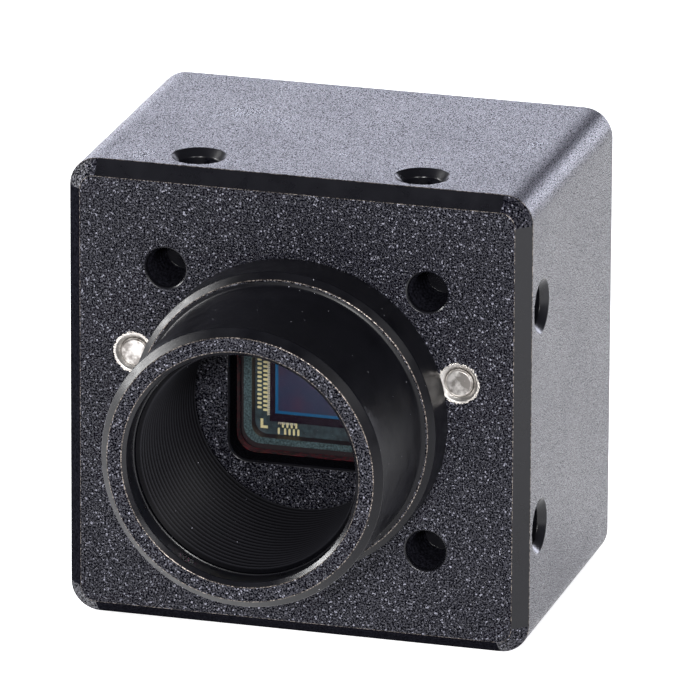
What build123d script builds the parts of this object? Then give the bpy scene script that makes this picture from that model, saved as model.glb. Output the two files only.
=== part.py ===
from build123d import *
import math
import os

os.makedirs("parts", exist_ok=True)

# Frame: origin under the middle of the whole camera, on the plane it stands on.
# The lens tube points along -Y and +Z is up. A "depth" is a distance behind
# the housing's front face, so what stands in front of the face is negative.

# ---- Whole camera ----
body_size = 29.0
body_depth = 19.8
tube_length = 11.75
io_reach = 4.5
slip = 0.02

total_length = tube_length + body_depth + io_reach
face_y = tube_length - total_length / 2
axis_z = body_size / 2

# ---- Lens tube ----
thread_minor_r = 6.73
relief_r = 7.1
relief_depth = 1.5
tube_r = 8.75
tube_edge = 0.5
mouth_edge = 0.35
collar_r = 9.55
collar_height = 3.1
collar_edge = 0.4
collar_cove = 0.3
spigot_r = 8.0
seat_depth = 1.9
spigot_gap = 0.05
spigot_edge = 0.2

# ---- Housing ----
long_edge_r = 1.8
front_edge = 0.9
rear_edge = 0.3
block_depth = 5.0
cavity_size = 24.6
cavity_corner_r = 1.0
floor_depth = 3.5
window_w = 9.44
window_h = 8.4
window_corner_r = 1.2
window_edge = 0.12
pocket_w = 12.6
pocket_h = 11.6
pocket_corner_r = 1.0

# ---- Tapped holes of the housing ----
m3_tap_r = 1.25
front_hole_pitch = 16.4
front_hole_depth = 4.0
front_hole_mouth_r = 1.35
side_hole_pitch = 14.0
side_hole_from_face = 3.05
side_hole_depth = 4.0
side_hole_mouth_r = 1.7

# ---- Pressed pins beside the collar ----
pin_r = 0.875
pin_x = 10.2
pin_up = 2.65
pin_mouth_r = 1.15
pin_recess = 0.05
pin_end_depth = 7.4
pin_tip_edge = 0.12
hole_overrun = 1.0

# ---- Image sensor ----
seal_thickness = 0.7
seal_wall = 1.0
glass_thickness = 0.5
glass_margin = 0.35
adhesive_thickness = 0.05
adhesive_w = 9.3
adhesive_h = 8.1
adhesive_corner_r = 1.1
cavity_w = 8.3
cavity_h = 7.3
package_cavity_r = 0.8
package_w = 11.0
package_h = 10.0
package_corner_r = 0.25
package_frame_thickness = 0.7
package_base_thickness = 0.65
die_w = 6.4
die_h = 5.12
die_thickness = 0.25
array_w = 5.7
array_h = 4.16
array_rise = 0.06
array_thickness = 0.02
sensor_x = 0.06
sensor_z = -0.17

# ---- Bond fingers on the package ----
finger_thickness = 0.02
finger_pitch = 0.2788
finger_width = 0.15
finger_corner_r = 0.06
inner_finger_x = 3.48
inner_finger_length = 0.32
inner_fingers = 15
outer_finger_x = 3.87
outer_finger_length = 0.28
outer_fingers = 14
end_finger_width = 0.13
near_end_finger_z = 2.82
near_end_finger_length = 0.34
near_end_fingers_x = (-1.54, -1.82, -2.1, -2.38)
far_end_finger_z = 3.23
far_end_finger_length = 0.42
far_end_fingers_x = (-1.4, -1.68, -1.96, -2.24, -2.64)
mark_x = 3.57
mark_z = 2.83
mark_w = 0.46
mark_h = 0.6
mark_width = 0.17

# ---- Circuit boards ----
board_size = 24.0
board_notch = 3.7
board_thickness = 1.0
board_gap = 4.9
board_hole_r = 1.1
pin_clear_r = 0.95
stack_x = 4.2
stack_z = 10.0
boss_r = 1.9

# ---- Screws through the boards ----
m2_r = 1.0
stack_tap_depth = 3.2
stack_head_r = 1.75
stack_head_height = 1.3
stack_recess_r = 0.6
stack_recess_depth = 0.7
stack_tip = 3.6
spacer_r = 1.7

# ---- Rear cover ----
cover_thickness = 2.0
cover_gap = 0.08
recess_size = 26.2
recess_corner_r = 1.4
gasket_thickness = 0.3
gasket_band = 0.7
cover_edge = 0.2
cover_screw_xz = 10.9
cover_boss_inner = 8.8
cover_hole_r = 1.1
cover_sink_r = 1.95
cover_tap_depth = 7.0
cover_screw_length = 5.5
cover_head_r = 1.85
cover_head_drop = 0.1
drive_r = 0.65
drive_depth = 0.6

# ---- Data connector ----
usb_z = -6.0
usb_w = 8.94
usb_h = 3.26
usb_wall = 0.3
usb_proud = 0.1
usb_gap = 0.15
usb_base_depth = 2.0
tongue_w = 6.69
tongue_thickness = 0.7
tongue_recess = 0.6
contact_count = 12
contact_pitch = 0.5
contact_width = 0.25
contact_thickness = 0.04
contact_length = 3.4
contact_recess = 0.5

# ---- Round connector for trigger and power ----
io_x = -5.5
io_z = 4.5
io_shell_r = 4.0
io_shell_wall = 0.6
io_flange_r = 4.9
io_flange_thickness = 1.2
io_tail = 1.6
io_edge = 0.3
io_groove_width = 0.6
io_groove_depth = 0.35
io_nut_flat = 10.0
io_nut_thickness = 1.8
io_key_width = 0.9
io_key_height = 0.35
io_insert_recess = 4.0
io_pin_count = 6
io_pin_r = 0.35
io_pin_circle_r = 1.9
io_pin_recess = 1.2

# ---- Chips and light ----
chip_edge = 0.1
processor_x = 5.5
processor_z = 3.6
processor_size = 8.0
processor_thickness = 1.2
pedestal_size = 7.4
pad_thickness = 0.6
led_x = 7.6
led_w = 1.6
led_h = 0.8
led_thickness = 0.6
pipe_r = 0.75
pipe_head_r = 1.2
pipe_head_thickness = 0.8
pipe_gap = 0.3
pipe_proud = 0.1

# ---- What is soldered to the boards ----
capacitor_w = 1.0
capacitor_h = 0.5
capacitor_thickness = 0.5
capacitor_pitch = 1.6
sensor_capacitor_rows = (-3.2, -5.2)
sensor_capacitors_per_row = 6
main_capacitors_per_side = 3
oscillator_w = 3.2
oscillator_h = 2.5
oscillator_thickness = 0.9
oscillator_corner_r = 0.3
oscillator_x = -8.0
oscillator_z = -3.5
mezzanine_z = 6.0
mezzanine_w = 14.0
mezzanine_h = 3.6
plug_h = 2.2
plug_w = 12.6
plug_overlap = 1.2
mezzanine_groove = 0.2
memory_x = -6.0
memory_z = -2.0
memory_w = 8.0
memory_h = 6.0
memory_thickness = 1.0
bridge_x = 6.0
bridge_z = -2.5
bridge_size = 6.0
bridge_thickness = 0.9
main_capacitor_x = 10.4

# ---- Depths that follow from the sizes above ----
seal_back = floor_depth + seal_thickness
glass_back = seal_back + glass_thickness
adhesive_back = glass_back + adhesive_thickness
package_split = adhesive_back + package_frame_thickness
sensor_board_front = package_split + package_base_thickness
sensor_board_back = sensor_board_front + board_thickness
main_board_front = sensor_board_back + board_gap
main_board_back = main_board_front + board_thickness
cover_front = body_depth - cover_thickness
ledge_depth = cover_front - gasket_thickness
processor_back = main_board_back + processor_thickness


def plane_at(depth, x=0.0, z=0.0):
    """Forward-facing plane at a depth, centred on the lens axis plus x and z."""
    return Plane(
        origin=(x, face_y + depth, axis_z + z), x_dir=(1, 0, 0), z_dir=(0, -1, 0)
    )


def rounded_slab(front, back, width, height, corner_r, x=0.0, z=0.0, mode=Mode.ADD):
    """Plate with rounded corners that fills the depths from front to back."""
    with BuildSketch(plane_at(front, x, z)) as outline:
        RectangleRounded(width, height, corner_r)
    extrude(outline.sketch, amount=front - back, mode=mode)


def plain_slab(front, back, width, height, x=0.0, z=0.0, mode=Mode.ADD):
    """Square-cornered plate that fills the depths from front to back."""
    with BuildSketch(plane_at(front, x, z)) as outline:
        Rectangle(width, height)
    extrude(outline.sketch, amount=front - back, mode=mode)


def disc(front, back, radius, x=0.0, z=0.0, mode=Mode.ADD):
    """Cylinder along the lens axis that fills the depths from front to back."""
    with BuildSketch(plane_at(front, x, z)) as outline:
        Circle(radius)
    extrude(outline.sketch, amount=front - back, mode=mode)


def discs(front, back, radius, places, mode=Mode.ADD):
    """One equal cylinder at each (x, z) place."""
    with BuildSketch(plane_at(front)) as outline:
        with Locations(*places):
            Circle(radius)
    extrude(outline.sketch, amount=front - back, mode=mode)


def mirrored_places(x, z):
    """The four places at plus and minus x and z."""
    return [(sx * x, sz * z) for sx in (-1, 1) for sz in (-1, 1)]


stack_places = mirrored_places(stack_x, stack_z)
cover_screw_places = mirrored_places(cover_screw_xz, cover_screw_xz)
pin_places = [(-pin_x, pin_up), (pin_x, pin_up)]
side_planes = []
for normal, along in (
    ((0, 0, 1), (1, 0, 0)),
    ((0, 0, -1), (1, 0, 0)),
    ((1, 0, 0), (0, 0, 1)),
    ((-1, 0, 0), (0, 0, 1)),
):
    side_planes.append(
        Plane(
            origin=(
                normal[0] * body_size / 2,
                face_y + side_hole_from_face,
                axis_z + normal[2] * body_size / 2,
            ),
            x_dir=along,
            z_dir=normal,
        )
    )

# ---- Housing: one milled block, a thick front wall and four sides ----
boss_size = cavity_size / 2 - cover_boss_inner
boss_place = cavity_size / 2 - boss_size / 2
with BuildPart() as housing:
    rounded_slab(0, body_depth, body_size, body_size, long_edge_r)
    chamfer(housing.faces().sort_by(Axis.Y)[0].edges(), length=front_edge)
    chamfer(housing.faces().sort_by(Axis.Y)[-1].edges(), length=rear_edge)
    with BuildSketch(plane_at(block_depth)):
        RectangleRounded(cavity_size, cavity_size, cavity_corner_r)
        with Locations(*mirrored_places(boss_place, boss_place)):
            Rectangle(boss_size, boss_size, mode=Mode.SUBTRACT)
    extrude(amount=block_depth - ledge_depth, mode=Mode.SUBTRACT)
    rounded_slab(
        ledge_depth, body_depth, recess_size, recess_size, recess_corner_r,
        mode=Mode.SUBTRACT,
    )
    discs(block_depth, sensor_board_front, boss_r, stack_places)
    disc(0, seat_depth, spigot_r + slip, mode=Mode.SUBTRACT)
    rounded_slab(
        seat_depth, floor_depth, window_w, window_h, window_corner_r,
        mode=Mode.SUBTRACT,
    )
    window_mouth = housing.edges().filter_by_position(
        Axis.Y, face_y + seat_depth - slip, face_y + seat_depth + slip
    )
    window_mouth = [
        e for e in window_mouth
        if math.hypot(e.center().X, e.center().Z - axis_z) < spigot_r - hole_overrun
    ]
    chamfer(window_mouth, length=window_edge)
    rounded_slab(
        floor_depth, block_depth, pocket_w, pocket_h, pocket_corner_r,
        mode=Mode.SUBTRACT,
    )
    with Locations(plane_at(0)):
        with GridLocations(front_hole_pitch, front_hole_pitch, 2, 2):
            CounterSinkHole(
                radius=m3_tap_r,
                counter_sink_radius=front_hole_mouth_r,
                depth=front_hole_depth,
                counter_sink_angle=90,
            )
        with Locations(*pin_places):
            CounterSinkHole(
                radius=pin_r + slip,
                counter_sink_radius=pin_mouth_r,
                depth=block_depth + hole_overrun,
                counter_sink_angle=90,
            )
    for side in side_planes:
        with Locations(side):
            with GridLocations(side_hole_pitch, 0, 2, 1):
                CounterSinkHole(
                    radius=m3_tap_r,
                    counter_sink_radius=side_hole_mouth_r,
                    depth=side_hole_depth,
                    counter_sink_angle=90,
                )
    discs(
        sensor_board_front - stack_tap_depth, sensor_board_front, m2_r + slip,
        stack_places, mode=Mode.SUBTRACT,
    )
    discs(
        ledge_depth - cover_tap_depth, ledge_depth, m2_r + slip,
        cover_screw_places, mode=Mode.SUBTRACT,
    )

# ---- Lens tube: turned, with a collar that seats on the front face ----
tube_plane = Plane(origin=(0, face_y, axis_z), x_dir=(0, 1, 0), z_dir=(1, 0, 0))
spigot_end = seat_depth - spigot_gap
cove_centre = (-collar_height - collar_cove, tube_r + collar_cove)
cove_middle = (
    cove_centre[0] + collar_cove * math.cos(math.radians(45)),
    cove_centre[1] - collar_cove * math.sin(math.radians(45)),
)
with BuildPart() as lens_tube:
    with BuildSketch(tube_plane):
        with BuildLine():
            Polyline(
                (-collar_height, tube_r + collar_cove),
                (-collar_height, collar_r - collar_edge),
                (-collar_height + collar_edge, collar_r),
                (0, collar_r),
                (0, spigot_r),
                (spigot_end - spigot_edge, spigot_r),
                (spigot_end, spigot_r - spigot_edge),
                (spigot_end, thread_minor_r),
                (-tube_length + relief_depth, thread_minor_r),
                (-tube_length + relief_depth, relief_r),
                (-tube_length + mouth_edge, relief_r),
                (-tube_length, relief_r + mouth_edge),
                (-tube_length, tube_r - tube_edge),
                (-tube_length + tube_edge, tube_r),
                (-collar_height - collar_cove, tube_r),
            )
            ThreePointArc(
                (-collar_height - collar_cove, tube_r),
                cove_middle,
                (-collar_height, tube_r + collar_cove),
            )
        make_face()
    revolve(axis=Axis((0, face_y, axis_z), (0, 1, 0)))

# ---- Front pins: pressed through the front wall into the sensor board ----
with BuildPart() as front_pins:
    discs(pin_recess, pin_end_depth, pin_r, pin_places)
    chamfer(front_pins.edges().filter_by(GeomType.CIRCLE), length=pin_tip_edge)

# ---- Dust seal: silicone frame between the housing floor and the sensor ----
with BuildPart() as dust_seal:
    rounded_slab(
        floor_depth, seal_back, window_w + 2 * seal_wall, window_h + 2 * seal_wall,
        window_corner_r,
    )
    rounded_slab(
        floor_depth, seal_back, window_w, window_h, window_corner_r,
        mode=Mode.SUBTRACT,
    )

# ---- Image sensor: cover glass, adhesive, moulded frame, base, chip ----
with BuildPart() as cover_glass:
    rounded_slab(
        seal_back, glass_back, package_w - 2 * glass_margin,
        package_h - 2 * glass_margin, package_corner_r,
    )

with BuildPart() as lid_adhesive:
    rounded_slab(
        glass_back, adhesive_back, adhesive_w, adhesive_h, adhesive_corner_r
    )
    rounded_slab(
        glass_back, adhesive_back, cavity_w, cavity_h, package_cavity_r,
        mode=Mode.SUBTRACT,
    )

with BuildPart() as package_frame:
    rounded_slab(
        adhesive_back, package_split, package_w, package_h, package_corner_r
    )
    rounded_slab(
        adhesive_back, package_split, cavity_w, cavity_h, package_cavity_r,
        mode=Mode.SUBTRACT,
    )

with BuildPart() as package_base:
    rounded_slab(
        package_split, sensor_board_front, package_w, package_h, package_corner_r
    )

with BuildPart() as sensor_die:
    plain_slab(
        package_split - die_thickness, package_split, die_w, die_h, sensor_x, sensor_z
    )

with BuildPart() as pixel_array:
    plain_slab(
        package_split - die_thickness - array_thickness,
        package_split - die_thickness,
        array_w, array_h, sensor_x, sensor_z + array_rise,
    )

# ---- Bond fingers: gold pads in staggered rows, and a corner mark ----
finger_front = package_split - finger_thickness
with BuildPart() as bond_fingers:
    with BuildSketch(plane_at(finger_front, 0, sensor_z)):
        for side in (-1, 1):
            with Locations((side * inner_finger_x, 0)):
                with GridLocations(0, finger_pitch, 1, inner_fingers):
                    RectangleRounded(inner_finger_length, finger_width, finger_corner_r)
            with Locations((side * outer_finger_x, 0)):
                with GridLocations(0, finger_pitch, 1, outer_fingers):
                    RectangleRounded(outer_finger_length, finger_width, finger_corner_r)
            with Locations(*[(x, side * near_end_finger_z) for x in near_end_fingers_x]):
                RectangleRounded(end_finger_width, near_end_finger_length, finger_corner_r)
            with Locations(*[(x, side * far_end_finger_z) for x in far_end_fingers_x]):
                RectangleRounded(end_finger_width, far_end_finger_length, finger_corner_r)
        with Locations((-mark_x - mark_w / 2 + mark_width / 2, -mark_z)):
            Rectangle(mark_width, mark_h)
        with Locations((-mark_x, -mark_z - mark_h / 2 + mark_width / 2)):
            Rectangle(mark_w, mark_width)
    extrude(amount=-finger_thickness)


def board(front, hole_places, clear_places):
    """Square circuit board with notched corners and its mounting holes."""
    plain_slab(front, front + board_thickness, board_size, board_size)
    notch_place = board_size / 2 - board_notch / 2
    with BuildSketch(plane_at(front)) as notches:
        with Locations(*mirrored_places(notch_place, notch_place)):
            Rectangle(board_notch, board_notch)
    extrude(notches.sketch, amount=-board_thickness, mode=Mode.SUBTRACT)
    discs(
        front, front + board_thickness, board_hole_r, hole_places, mode=Mode.SUBTRACT
    )
    if clear_places:
        discs(
            front, front + board_thickness, pin_clear_r, clear_places,
            mode=Mode.SUBTRACT,
        )


# ---- Sensor board and what is soldered to its back ----
with BuildPart() as sensor_board:
    board(sensor_board_front, stack_places, pin_places)

with BuildPart() as sensor_capacitors:
    for row_z in sensor_capacitor_rows:
        with BuildSketch(plane_at(sensor_board_back)):
            with Locations((0, row_z)):
                with GridLocations(capacitor_pitch, 0, sensor_capacitors_per_row, 1):
                    Rectangle(capacitor_w, capacitor_h)
        extrude(amount=-capacitor_thickness)

with BuildPart() as clock_oscillator:
    rounded_slab(
        sensor_board_back, sensor_board_back + oscillator_thickness,
        oscillator_w, oscillator_h, oscillator_corner_r, oscillator_x,
        oscillator_z,
    )
    chamfer(
        clock_oscillator.faces().sort_by(Axis.Y)[-1].edges(), length=chip_edge
    )

# ---- Board-to-board connector: a socket and the plug that enters it ----
socket_front = sensor_board_back + board_gap / 2 - plug_overlap / 2
with BuildPart() as mezzanine_socket:
    plain_slab(
        socket_front, main_board_front, mezzanine_w, mezzanine_h, 0, mezzanine_z
    )
    plain_slab(
        socket_front, socket_front + plug_overlap + mezzanine_groove,
        plug_w + mezzanine_groove, plug_h + mezzanine_groove, 0, mezzanine_z,
        mode=Mode.SUBTRACT,
    )

with BuildPart() as mezzanine_plug:
    plain_slab(
        sensor_board_back, socket_front - mezzanine_groove, mezzanine_w,
        mezzanine_h, 0, mezzanine_z,
    )
    plain_slab(
        socket_front - mezzanine_groove, socket_front + plug_overlap, plug_w,
        plug_h, 0, mezzanine_z,
    )

# ---- Main board and its chips ----
with BuildPart() as main_board:
    board(main_board_front, stack_places, [])

with BuildPart() as processor_chip:
    plain_slab(
        main_board_back, processor_back, processor_size, processor_size,
        processor_x, processor_z,
    )
    chamfer(processor_chip.faces().sort_by(Axis.Y)[-1].edges(), length=chip_edge)

with BuildPart() as memory_chip:
    plain_slab(
        main_board_front - memory_thickness, main_board_front, memory_w, memory_h,
        memory_x, memory_z,
    )
    chamfer(memory_chip.faces().sort_by(Axis.Y)[0].edges(), length=chip_edge)

with BuildPart() as interface_chip:
    plain_slab(
        main_board_front - bridge_thickness, main_board_front, bridge_size,
        bridge_size, bridge_x, bridge_z,
    )
    chamfer(interface_chip.faces().sort_by(Axis.Y)[0].edges(), length=chip_edge)

with BuildPart() as main_capacitors:
    for side in (-1, 1):
        with BuildSketch(plane_at(main_board_back)):
            with Locations((side * main_capacitor_x, usb_z)):
                with GridLocations(0, capacitor_pitch, 1, main_capacitors_per_side):
                    Rectangle(capacitor_w, capacitor_h)
        extrude(amount=-capacitor_thickness)

with BuildPart() as thermal_pad:
    plain_slab(
        processor_back, processor_back + pad_thickness, pedestal_size,
        pedestal_size, processor_x, processor_z,
    )

# ---- Board stack hardware: spacers between the boards and long screws ----
with BuildPart() as stack_spacers:
    discs(sensor_board_back, main_board_front, spacer_r, stack_places)
    discs(
        sensor_board_back, main_board_front, m2_r + slip, stack_places,
        mode=Mode.SUBTRACT,
    )

stack_head_back = main_board_back + stack_head_height
with BuildPart() as stack_screws:
    discs(stack_tip, main_board_back, m2_r, stack_places)
    discs(main_board_back, stack_head_back, stack_head_r, stack_places)
    head_rims = stack_screws.edges().filter_by_position(
        Axis.Y, face_y + stack_head_back - slip, face_y + stack_head_back + slip
    )
    chamfer(head_rims, length=pin_tip_edge)
    with BuildSketch(plane_at(stack_head_back)):
        with Locations(*stack_places):
            RegularPolygon(stack_recess_r, 6)
    extrude(amount=stack_recess_depth, mode=Mode.SUBTRACT)

# ---- Data connector: stamped shell, plastic tongue, gold contacts ----
usb_front = main_board_back
usb_back = body_depth + usb_proud
tongue_back = usb_back - tongue_recess
with BuildPart() as usb_shell:
    rounded_slab(usb_front, usb_back, usb_w, usb_h, usb_h / 2 - slip, 0, usb_z)
    rounded_slab(
        usb_front, usb_back, usb_w - 2 * usb_wall, usb_h - 2 * usb_wall,
        usb_h / 2 - usb_wall - slip, 0, usb_z, mode=Mode.SUBTRACT,
    )

with BuildPart() as usb_tongue:
    rounded_slab(
        usb_front, usb_front + usb_base_depth, usb_w - 2 * usb_wall - 2 * slip,
        usb_h - 2 * usb_wall - 2 * slip, usb_h / 2 - usb_wall - 2 * slip, 0, usb_z,
    )
    plain_slab(
        usb_front + usb_base_depth, tongue_back, tongue_w, tongue_thickness, 0, usb_z
    )
    chamfer(usb_tongue.faces().sort_by(Axis.Y)[-1].edges(), length=chip_edge)

contact_back = tongue_back - contact_recess
with BuildPart() as usb_contacts:
    for side in (-1, 1):
        contact_z = usb_z + side * (tongue_thickness + contact_thickness) / 2
        with BuildSketch(plane_at(contact_back, 0, contact_z)):
            with GridLocations(contact_pitch, 0, contact_count, 1):
                Rectangle(contact_width, contact_thickness)
        extrude(amount=contact_length)

# ---- Round connector: threaded shell, hexagon nut, insulator, six pins ----
# The groove parts the thread under the nut from the thread for the plug's ring.
io_back = body_depth + io_reach
io_flange_front = cover_front - io_flange_thickness
io_shell_front = io_flange_front - io_tail
io_inner_r = io_shell_r - io_shell_wall
io_insert_back = io_back - io_insert_recess
with BuildPart() as io_shell:
    disc(io_shell_front, io_back, io_shell_r, io_x, io_z)
    io_rim = io_shell.edges().sort_by(Axis.Y)[-1]
    chamfer(io_rim, length=io_edge)
    with BuildSketch(plane_at(body_depth + io_nut_thickness, io_x, io_z)):
        Circle(io_shell_r)
        Circle(io_shell_r - io_groove_depth, mode=Mode.SUBTRACT)
    extrude(amount=-io_groove_width, mode=Mode.SUBTRACT)
    disc(io_flange_front, cover_front, io_flange_r, io_x, io_z)
    disc(io_shell_front, io_back, io_inner_r, io_x, io_z, mode=Mode.SUBTRACT)
    plain_slab(
        io_insert_back, io_back - io_pin_recess, io_key_width, 2 * io_key_height,
        io_x, io_z + io_inner_r,
    )

with BuildPart() as io_nut:
    with BuildSketch(plane_at(body_depth, io_x, io_z)):
        RegularPolygon(io_nut_flat / 2, 6, major_radius=False)
        Circle(io_shell_r + slip, mode=Mode.SUBTRACT)
    extrude(amount=-io_nut_thickness)
    nut_corners = io_nut.faces().sort_by(Axis.Y)[-1].outer_wire().edges()
    chamfer(nut_corners, length=pin_tip_edge)

with BuildPart() as io_insert:
    disc(io_shell_front, io_insert_back, io_inner_r - slip, io_x, io_z)
    with BuildSketch(plane_at(io_insert_back, io_x, io_z)):
        with PolarLocations(io_pin_circle_r, io_pin_count):
            Circle(io_pin_r + slip)
    extrude(amount=io_insert_back - io_shell_front, mode=Mode.SUBTRACT)

with BuildPart() as io_pins:
    with BuildSketch(plane_at(main_board_back, io_x, io_z)):
        with PolarLocations(io_pin_circle_r, io_pin_count):
            Circle(io_pin_r)
    extrude(amount=main_board_back - io_back + io_pin_recess)
    pin_tips = io_pins.edges().filter_by_position(
        Axis.Y,
        face_y + io_back - io_pin_recess - slip,
        face_y + io_back - io_pin_recess + slip,
    )
    chamfer(pin_tips, length=pin_tip_edge)

# ---- Status light: chip on the main board, light pipe in the cover ----
led_back = main_board_back + led_thickness
with BuildPart() as status_led:
    plain_slab(main_board_back, led_back, led_w, led_h, led_x, usb_z)

pipe_front = led_back + pipe_gap
with BuildPart() as light_pipe:
    disc(pipe_front, body_depth + pipe_proud, pipe_r, led_x, usb_z)
    disc(
        cover_front - pipe_head_thickness, cover_front - slip, pipe_head_r,
        led_x, usb_z,
    )
    chamfer(light_pipe.edges().sort_by(Axis.Y)[-1], length=chip_edge)

# ---- Rear gasket: frame that also covers the four screw bosses ----
cover_size = recess_size - 2 * cover_gap
gasket_opening = cover_size - 2 * gasket_band
gasket_arm = 2 * cover_boss_inner
with BuildPart() as rear_gasket:
    rounded_slab(
        ledge_depth, cover_front, cover_size, cover_size, recess_corner_r - cover_gap
    )
    with BuildSketch(plane_at(ledge_depth)):
        Rectangle(gasket_opening, gasket_arm)
        Rectangle(gasket_arm, gasket_opening)
    extrude(amount=ledge_depth - cover_front, mode=Mode.SUBTRACT)
    discs(
        ledge_depth, cover_front, cover_hole_r, cover_screw_places,
        mode=Mode.SUBTRACT,
    )

# ---- Rear cover: milled plate with a pedestal that cools the processor ----
with BuildPart() as rear_cover:
    rounded_slab(
        cover_front, body_depth, cover_size, cover_size, recess_corner_r - cover_gap
    )
    chamfer(rear_cover.faces().sort_by(Axis.Y)[-1].edges(), length=cover_edge)
    plain_slab(
        processor_back + pad_thickness, cover_front, pedestal_size, pedestal_size,
        processor_x, processor_z,
    )
    rounded_slab(
        cover_front, body_depth, usb_w + 2 * usb_gap, usb_h + 2 * usb_gap,
        usb_h / 2, 0, usb_z, mode=Mode.SUBTRACT,
    )
    disc(cover_front, body_depth, io_shell_r + slip, io_x, io_z, mode=Mode.SUBTRACT)
    disc(cover_front, body_depth, pipe_r + slip, led_x, usb_z, mode=Mode.SUBTRACT)
    rear_face = Plane(
        origin=(0, face_y + body_depth, axis_z), x_dir=(-1, 0, 0), z_dir=(0, 1, 0)
    )
    with Locations(rear_face):
        with Locations(*cover_screw_places):
            CounterSinkHole(
                radius=cover_hole_r,
                counter_sink_radius=cover_sink_r,
                depth=cover_thickness + hole_overrun,
                counter_sink_angle=90,
            )

# ---- Rear screws: countersunk, hexagon recess ----
head_back = body_depth - cover_head_drop
head_height = cover_head_r - m2_r
with BuildPart() as rear_screws:
    for place_x, place_z in cover_screw_places:
        profile = Plane(
            origin=(place_x, face_y, axis_z + place_z),
            x_dir=(0, 1, 0),
            z_dir=(1, 0, 0),
        )
        with BuildSketch(profile):
            with BuildLine():
                Polyline(
                    (head_back, 0),
                    (head_back, cover_head_r),
                    (head_back - head_height, m2_r),
                    (head_back - cover_screw_length + pin_tip_edge, m2_r),
                    (head_back - cover_screw_length, m2_r - pin_tip_edge),
                    (head_back - cover_screw_length, 0),
                    close=True,
                )
            make_face()
        revolve(axis=Axis((place_x, face_y, axis_z + place_z), (0, 1, 0)))
    with BuildSketch(plane_at(head_back)):
        with Locations(*cover_screw_places):
            RegularPolygon(drive_r, 6)
    extrude(amount=drive_depth, mode=Mode.SUBTRACT)

pieces = {
    "housing": housing,
    "lens_tube": lens_tube,
    "front_pins": front_pins,
    "dust_seal": dust_seal,
    "cover_glass": cover_glass,
    "lid_adhesive": lid_adhesive,
    "package_frame": package_frame,
    "package_base": package_base,
    "sensor_die": sensor_die,
    "pixel_array": pixel_array,
    "bond_fingers": bond_fingers,
    "sensor_board": sensor_board,
    "sensor_capacitors": sensor_capacitors,
    "clock_oscillator": clock_oscillator,
    "mezzanine_plug": mezzanine_plug,
    "mezzanine_socket": mezzanine_socket,
    "main_board": main_board,
    "processor_chip": processor_chip,
    "memory_chip": memory_chip,
    "interface_chip": interface_chip,
    "main_capacitors": main_capacitors,
    "thermal_pad": thermal_pad,
    "stack_spacers": stack_spacers,
    "stack_screws": stack_screws,
    "usb_shell": usb_shell,
    "usb_tongue": usb_tongue,
    "usb_contacts": usb_contacts,
    "io_shell": io_shell,
    "io_nut": io_nut,
    "io_insert": io_insert,
    "io_pins": io_pins,
    "status_led": status_led,
    "light_pipe": light_pipe,
    "rear_gasket": rear_gasket,
    "rear_cover": rear_cover,
    "rear_screws": rear_screws,
}
for name, piece in pieces.items():
    piece.part.label = name
    export_step(piece.part, f"parts/{name}.step")
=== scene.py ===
import math

import bmesh
import bpy
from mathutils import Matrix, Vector


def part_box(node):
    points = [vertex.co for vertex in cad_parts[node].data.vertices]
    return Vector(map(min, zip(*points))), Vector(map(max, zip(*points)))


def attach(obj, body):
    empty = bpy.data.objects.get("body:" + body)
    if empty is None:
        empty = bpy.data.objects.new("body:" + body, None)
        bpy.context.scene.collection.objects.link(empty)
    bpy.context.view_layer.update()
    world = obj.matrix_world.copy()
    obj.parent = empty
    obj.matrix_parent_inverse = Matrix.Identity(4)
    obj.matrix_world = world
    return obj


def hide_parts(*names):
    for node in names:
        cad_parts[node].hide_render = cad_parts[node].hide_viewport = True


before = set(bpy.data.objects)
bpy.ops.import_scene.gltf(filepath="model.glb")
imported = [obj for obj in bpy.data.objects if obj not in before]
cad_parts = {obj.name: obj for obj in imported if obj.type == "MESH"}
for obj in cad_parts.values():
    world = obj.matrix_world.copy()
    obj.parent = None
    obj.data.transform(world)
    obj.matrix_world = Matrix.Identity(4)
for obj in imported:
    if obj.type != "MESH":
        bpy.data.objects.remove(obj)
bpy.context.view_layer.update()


# ---------------------------------------------------------------------------
# Housing. One block of 6061 aluminium, milled, bead-blasted and black anodised.
# The front is blasted with coarse grit, the sides with fine beads, and the
# chamfer is cut afterwards, so it stays smooth. Its holes are tapped M3.
# ---------------------------------------------------------------------------
MM = 0.001
shell_low, shell_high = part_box("housing")
tube_low, tube_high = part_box("lens_tube")
axis_x = (tube_low.x + tube_high.x) / 2
axis_z = (tube_low.z + tube_high.z) / 2
face_y = shell_low.y
pin_low, pin_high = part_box("front_pins")
pin_z = (pin_low.z + pin_high.z) / 2
pin_r = (pin_high.z - pin_low.z) / 2
pin_reach = (pin_high.x - pin_low.x) / 2 - pin_r
seat_y = tube_high.y
front_chamfer = 0.9 * MM


def linear(hex_colour):
    """sRGB hex such as #383742, as the linear RGBA that a shader takes."""
    channels = [int(hex_colour[i:i + 2], 16) / 255 for i in (1, 3, 5)]
    return [c / 12.92 if c <= 0.04045 else ((c + 0.055) / 1.055) ** 2.4 for c in channels] + [1.0]


def add(tree, kind, settings=None, links=None):
    """Adds one node with its settings, its sockets' values or its ramp's stops, and links its inputs."""
    made = tree.nodes.new(kind)
    for key, value in (settings or {}).items():
        if key == "stops":
            for number, (position, colour) in enumerate(value):
                made.color_ramp.elements[number].position = position
                made.color_ramp.elements[number].color = linear(colour)
        elif isinstance(key, str) and hasattr(made, key):
            setattr(made, key, value)
        else:
            made.inputs[key].default_value = value
    for key, source in (links or {}).items():
        tree.links.new(source, made.inputs[key])
    return made


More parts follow.
